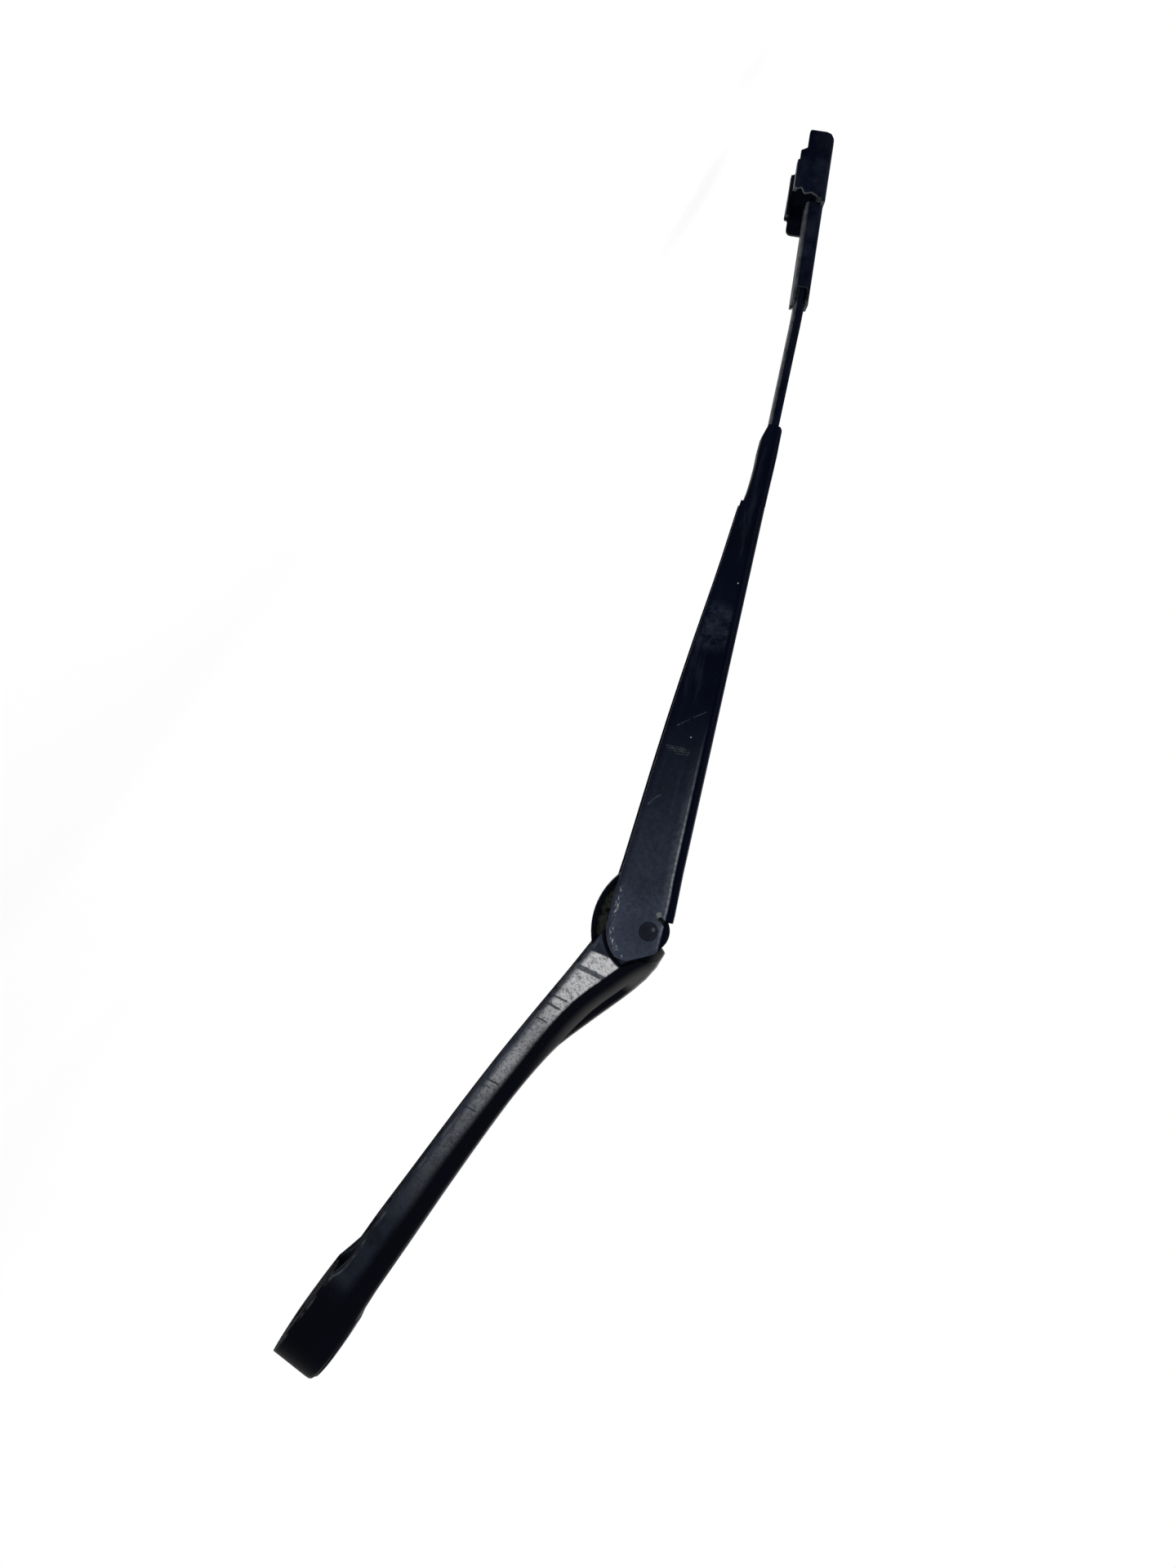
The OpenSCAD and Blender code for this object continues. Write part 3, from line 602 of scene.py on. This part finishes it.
def bar_paint(name, greyed):
    """Paint of the rod and the connector, with painted light on faces towards the glass and the
    hinge.
    """
    paint = bpy.context.scene.wiper_paint
    graph = Graph(name)
    arm = graph.upper_arm()
    turned = graph.add("ShaderNodeMapping", vector_type="NORMAL", vector=graph.facing)
    turned.inputs["Rotation"].default_value = (0.0, -DROOP, 0.0)
    along, _, up = graph.axes(turned.outputs["Vector"])
    # Painted light: lighter paint on faces turned towards the glass and the hinge, as a lamp on that
    # side would light them
    painted_rim_light = graph.any_of((graph.ramp(up, -0.35, -0.8), graph.ramp(along, -0.5, -0.85)))
    patchy = graph.ramp(graph.noise(260.0, 4.0, 0.6, arm), 0.35, 0.6, 0.45, 1.0)
    cloud = graph.ramp(graph.noise(130.0, 5.0, 0.6, arm), 0.3, 0.7, 0.0, greyed)
    colour = graph.blend(cloud, paint.deep, paint.dust_and_sheen)
    colour = graph.blend(graph.times(painted_rim_light, patchy, 0.8), colour, BAR_RIM_LIGHT_TONE)
    return graph.finish(*satin(graph, colour, arm), SHEET_GLOSS)


def moulded_plastic():
    """Matt black plastic of the nut cap."""
    graph = Graph("moulded_plastic")
    cloud = graph.noise(70.0, 4.0, 0.6)
    share = graph.ramp(cloud, 0.3, 0.7)
    colour = graph.blend(share, (0.0025, 0.0032, 0.0055), (0.007, 0.0085, 0.012))
    rough = graph.ramp(cloud, 0.3, 0.7, 0.42, 0.55)
    relief = graph.bump(graph.noise(2600.0, 2.0, 0.6), 0.02 * MM)
    return graph.finish(colour, rough, relief, PLASTIC_GLOSS)


def black_steel():
    """Glossy black steel of the rivet and the spring."""
    graph = Graph("black_steel")
    smear = graph.ramp(graph.noise(260.0, 4.0, 0.6), 0.45, 0.7)
    colour = graph.blend(smear, (0.0010, 0.0022, 0.0070), (0.004, 0.0062, 0.012))
    rough = graph.ramp(smear, 0.0, 1.0, 0.2, 0.28)
    return graph.finish(colour, rough, graph.bump(graph.noise(1500.0), 0.02 * MM), STEEL_GLOSS)


def greased_steel():
    """Black steel of the hook, with old grease on its recessed plate."""
    paint = bpy.context.scene.wiper_paint
    graph = Graph("greased_steel")
    plate = graph.ramp(graph.math("ABSOLUTE", graph.axes()[1]), 2.0 * MM, 1.6 * MM)
    film = graph.ramp(graph.noise(420.0, 6.0, 0.7), 0.36, 0.58)
    colour = graph.blend(graph.times(plate, film), (0.0010, 0.0020, 0.0056), paint.grease)
    rough = graph.ramp(film, 0.0, 1.0, 0.3, 0.6)
    lumps = graph.times(plate, graph.noise(900.0, 5.0, 0.7))
    return graph.finish(colour, rough, graph.bump(lumps, 0.3 * MM))


def zinc_steel():
    """Zinc-plated steel of the pins and the sleeve."""
    graph = Graph("zinc_steel")
    cloud = graph.noise(400.0, 4.0, 0.6)
    colour = graph.blend(cloud, (0.42, 0.42, 0.43), (0.6, 0.6, 0.62))
    return graph.finish(colour, graph.ramp(cloud, 0.3, 0.7, 0.25, 0.4), metallic=1.0)


def greased_nylon():
    """Nylon of the bushes, grey with old grease."""
    graph = Graph("greased_nylon")
    cloud = graph.noise(300.0, 4.0, 0.6)
    colour = graph.blend(cloud, (0.030, 0.033, 0.030), (0.055, 0.058, 0.054))
    return graph.finish(colour, graph.ramp(cloud, 0.3, 0.7, 0.4, 0.5))


# Pieces

# Points closer than this are one, and faces closer in angle than this are one face
MERGED = 2e-6
FLAT = math.radians(0.4)

# Edges that turn more than this are rounded, this wide on the pins and bushes and on the hook
ROUNDED = math.radians(40)
PIN_EDGE = 0.0002
HOOK_EDGE = 0.0004


def dress(node, material, body, edge=0.0, sharp=32.0):
    """A copy of a CAD node's solid with rounded edges and smooth faces stands for the node."""
    source = frame["nodes"][node]
    mesh = bpy.data.meshes.new(node + "_mesh")
    grid = bmesh.new()
    grid.from_mesh(source.data)
    bmesh.ops.remove_doubles(grid, verts=grid.verts, dist=MERGED)
    bmesh.ops.dissolve_limit(grid, angle_limit=FLAT, verts=grid.verts, edges=grid.edges)
    grid.to_mesh(mesh)
    grid.free()
    piece = bpy.data.objects.new(node + "_finished", mesh)
    bpy.context.scene.collection.objects.link(piece)
    if edge:
        round_edges(piece, edge)
    piece.data.materials.clear()
    piece.data.materials.append(material)
    piece.data.polygons.foreach_set("use_smooth", [True] * len(piece.data.polygons))
    piece.data.set_sharp_from_angle(angle=math.radians(sharp))
    even = piece.modifiers.new("even", "WEIGHTED_NORMAL")
    even.keep_sharp = True
    settle(piece)
    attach(piece, body)
    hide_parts(node)


def round_edges(piece, width):
    """Rounds the sharp edges of a piece with real faces."""
    modifier = piece.modifiers.new("edges", "BEVEL")
    modifier.width = width
    modifier.segments = 2
    modifier.limit_method = "ANGLE"
    modifier.angle_limit = ROUNDED
    modifier.use_clamp_overlap = True
    settle(piece)


def settle(piece):
    """Turns the modifiers of a piece into mesh."""
    graph = bpy.context.evaluated_depsgraph_get()
    piece.data = bpy.data.meshes.new_from_object(piece.evaluated_get(graph))
    piece.modifiers.clear()


class WiperOperator:
    """Shared form of the operators that build a piece."""

    bl_options = {"REGISTER", "UNDO"}


class WIPER_OT_head(WiperOperator, bpy.types.Operator):
    """Finish the cast head"""

    bl_idname = "wiper.head"
    bl_label = "Cast head"

    def execute(self, context):
        dress("arm_head", casting_paint(), "head", context.scene.wiper_paint.edge)
        return {"FINISHED"}


class WIPER_OT_cap(WiperOperator, bpy.types.Operator):
    """Finish the nut cap"""

    bl_idname = "wiper.cap"
    bl_label = "Nut cap"

    def execute(self, context):
        dress("nut_cap", moulded_plastic(), "cap", context.scene.wiper_paint.edge)
        return {"FINISHED"}


class WIPER_OT_upper_arm(WiperOperator, bpy.types.Operator):
    """Finish the channel, the rod and the connector"""

    bl_idname = "wiper.upper_arm"
    bl_label = "Upper arm"

    def execute(self, context):
        edge = context.scene.wiper_paint.edge
        dress("arm_channel", sheet_paint(), "arm", edge)
        dress("blade_rod", bar_paint("rod_paint", GREY_ROD), "arm", edge)
        connector_paint = bar_paint("connector_paint", GREY_CONNECTOR)
        dress("blade_connector", connector_paint, "arm", edge)
        return {"FINISHED"}


class WIPER_OT_hinge(WiperOperator, bpy.types.Operator):
    """Finish the rivet, the bushes and the pins"""

    bl_idname = "wiper.hinge"
    bl_label = "Hinge"

    def execute(self, context):
        dress("hinge_rivet", black_steel(), "arm")
        steel = zinc_steel()
        for node, body in (("hinge_sleeve", "arm"), ("hook_pin", "head")):
            dress(node, steel, body, PIN_EDGE)
        nylon = greased_nylon()
        for node, body in (("near_bush", "head"), ("far_bush", "head"), ("hook_bush", "hook")):
            dress(node, nylon, body, PIN_EDGE)
        return {"FINISHED"}


class WIPER_OT_spring(WiperOperator, bpy.types.Operator):
    """Finish the hook and the tension spring"""

    bl_idname = "wiper.spring"
    bl_label = "Hook and spring"

    def execute(self, context):
        dress("spring_hook", greased_steel(), "hook", HOOK_EDGE)
        dress("tension_spring", black_steel(), "spring", sharp=70.0)
        return {"FINISHED"}


# Stage

# Level of the world on the arm, and as the camera and gloss see it
LIT_LEVEL = 0.62
SEEN_LEVEL = 1.0

# Share of white in the floor near the arm and far out, with their distances in metres
FLOOR_WHITE = (0.55, 1.0)
FLOOR_FADE = (0.25, 0.9)

# Half the floor's side, in metres
FLOOR_REACH = 4.0

# Near side of the arm and the middle of the picture, in metres
NEAR_SIDE = 0.011
PICTURE_MIDDLE = Vector((0.25554, 0, -0.0539))

# Direction from the arm to the camera
NEAR = Vector((0, 1, 0))


def soft_light(name, place, target, size, power):
    """A large soft lamp that faces a point."""
    lamp = bpy.data.lights.new(name, "AREA")
    lamp.shape = "RECTANGLE"
    lamp.size = lamp.size_y = size
    lamp.energy = power
    holder = bpy.data.objects.new(name, lamp)
    holder.location = place
    holder.rotation_euler = (Vector(target) - Vector(place)).to_track_quat("-Z", "Y").to_euler()
    bpy.context.scene.collection.objects.link(holder)


def white_world():
    """Even light, with white seen by the camera, in gloss and through glass."""
    world = bpy.data.worlds.new("studio")
    world.use_nodes = True
    tree = world.node_tree
    tree.nodes.clear()
    path = tree.nodes.new("ShaderNodeLightPath")
    seen = path.outputs["Is Camera Ray"]
    for ray in ("Is Transmission Ray", "Is Glossy Ray"):
        either = tree.nodes.new("ShaderNodeMath")
        either.operation = "MAXIMUM"
        tree.links.new(seen, either.inputs[0])
        tree.links.new(path.outputs[ray], either.inputs[1])
        seen = either.outputs[0]
    level = tree.nodes.new("ShaderNodeMapRange")
    level.inputs["To Min"].default_value = LIT_LEVEL
    level.inputs["To Max"].default_value = SEEN_LEVEL
    tree.links.new(seen, level.inputs["Value"])
    light = tree.nodes.new("ShaderNodeBackground")
    light.inputs["Color"].default_value = (1.0, 1.0, 1.0, 1.0)
    tree.links.new(level.outputs["Result"], light.inputs["Strength"])
    output = tree.nodes.new("ShaderNodeOutputWorld")
    tree.links.new(light.outputs["Background"], output.inputs["Surface"])
    bpy.context.scene.world = world


def floor_material(tone):
    """Pale floor, white to the camera but for the arm's soft shadow, and white far out."""
    graph = Graph("pale_floor")
    cloud = graph.noise(2.0, 3.0, 0.5)
    colour = graph.blend(cloud, tone, [min(1.0, share * 1.03) for share in tone])
    lit = graph.add("ShaderNodeBsdfDiffuse")
    graph.tree.links.new(colour, lit.inputs["Color"])
    white = graph.add("ShaderNodeEmission", color=(1.0, 1.0, 1.0, 1.0), strength=1.0)
    ray = graph.add("ShaderNodeLightPath")
    seen = graph.math("MAXIMUM", ray.outputs["Is Camera Ray"], ray.outputs["Is Glossy Ray"])
    out = graph.reach(*graph.axes()[:2])
    share = graph.times(seen, graph.ramp(out, *FLOOR_FADE, *FLOOR_WHITE))
    mix = graph.add("ShaderNodeMixShader")
    graph.tree.links.new(share, mix.inputs[0])
    graph.tree.links.new(lit.outputs[0], mix.inputs[1])
    graph.tree.links.new(white.outputs[0], mix.inputs[2])
    graph.tree.links.new(mix.outputs[0], graph.output.inputs["Surface"])
    return graph.material


class WIPER_OT_stage(WiperOperator, bpy.types.Operator):
    """Set up the floor, the lights and the camera"""

    bl_idname = "wiper.stage"
    bl_label = "Stage"

    def execute(self, context):
        stage = context.scene.wiper_stage
        context.scene.view_settings.view_transform = "Standard"
        white_world()
        low, high = CAD_BOX
        middle = (Vector(low) + Vector(high)) / 2
        self.floor(low[2] - stage.gap, middle, stage)
        across, up = self.axes(stage.roll)
        self.camera(context, stage, across, up)
        left = middle + NEAR * 0.5 - across * 0.85 - up * 0.1
        right = middle + NEAR * 0.6 + across * 0.72 + up * 0.1
        back = middle - NEAR * 0.7 + Vector((0, 0, 0.6))
        soft_light("left", left, middle, size=0.6, power=6.0)
        soft_light("right", right, middle, size=0.5, power=5.0)
        soft_light("back", back, middle, size=0.8, power=6.0)
        return {"FINISHED"}

    @staticmethod
    def axes(roll):
        """The picture's right and up directions in the arm's frame."""
        across = Vector((math.cos(roll), 0, math.sin(roll)))
        up = Vector((math.sin(roll), 0, -math.cos(roll)))
        return across, up

    @staticmethod
    def floor(height, middle, stage):
        """A large plain floor under the arm."""
        mesh = bpy.data.meshes.new("floor")
        reach = FLOOR_REACH
        corners = [(-reach, -reach, 0), (reach, -reach, 0), (reach, reach, 0), (-reach, reach, 0)]
        mesh.from_pydata(corners, [], [(0, 1, 2, 3)])
        floor = bpy.data.objects.new("floor", mesh)
        floor.location = (middle.x, middle.y, height)
        mesh.materials.append(floor_material(stage.floor_tone))
        bpy.context.scene.collection.objects.link(floor)

    @staticmethod
    def camera(context, stage, across, up):
        """The camera stands on the near side, level with the middle of the picture."""
        data = bpy.data.cameras.new("camera")
        data.lens = stage.lens
        data.clip_start = 0.01
        camera = bpy.data.objects.new("camera", data)
        place = PICTURE_MIDDLE + NEAR * (NEAR_SIDE + stage.distance)
        turn = Matrix((across, up, NEAR)).transposed().to_4x4()
        camera.matrix_world = Matrix.Translation(place) @ turn
        context.scene.collection.objects.link(camera)
        context.scene.camera = camera


# What the panel shows of the paint and of the stage
PAINT_NAMES = (
    "deep", "shoulder", "dust_and_sheen", "worn", "pitted", "crown", "chip", "grease", "grain", "edge",
)
STAGE_NAMES = ("distance", "lens", "roll", "gap", "floor_tone")


class WIPER_PT_panel(bpy.types.Panel):
    """Lists the steps that build the wiper arm."""

    bl_label = "Wiper arm"
    bl_idname = "WIPER_PT_panel"
    bl_space_type = "VIEW_3D"
    bl_region_type = "UI"
    bl_category = "Wiper arm"

    def draw(self, context):
        paint = context.scene.wiper_paint
        stage = context.scene.wiper_stage
        for name in PAINT_NAMES:
            self.layout.prop(paint, name)
        for name in STAGE_NAMES:
            self.layout.prop(stage, name)
        for step in STEPS:
            self.layout.operator(step.bl_idname)


STEPS = (
    WIPER_OT_head,
    WIPER_OT_cap,
    WIPER_OT_upper_arm,
    WIPER_OT_hinge,
    WIPER_OT_spring,
    WIPER_OT_stage,
)
CLASSES = (WiperPaintSettings, WiperStageSettings, *STEPS, WIPER_PT_panel)


def register():
    """Registers the classes and their settings."""
    for item in CLASSES:
        bpy.utils.register_class(item)
    bpy.types.Scene.wiper_paint = bpy.props.PointerProperty(type=WiperPaintSettings)
    bpy.types.Scene.wiper_stage = bpy.props.PointerProperty(type=WiperStageSettings)


def unregister():
    """Removes the settings and the classes."""
    del bpy.types.Scene.wiper_stage
    del bpy.types.Scene.wiper_paint
    for item in reversed(CLASSES):
        bpy.utils.unregister_class(item)


def main():
    """Builds every piece and the stage."""
    register()
    bpy.ops.wiper.head()
    bpy.ops.wiper.cap()
    bpy.ops.wiper.upper_arm()
    bpy.ops.wiper.hinge()
    bpy.ops.wiper.spring()
    bpy.ops.wiper.stage()


if __name__ == "__main__":
    main()
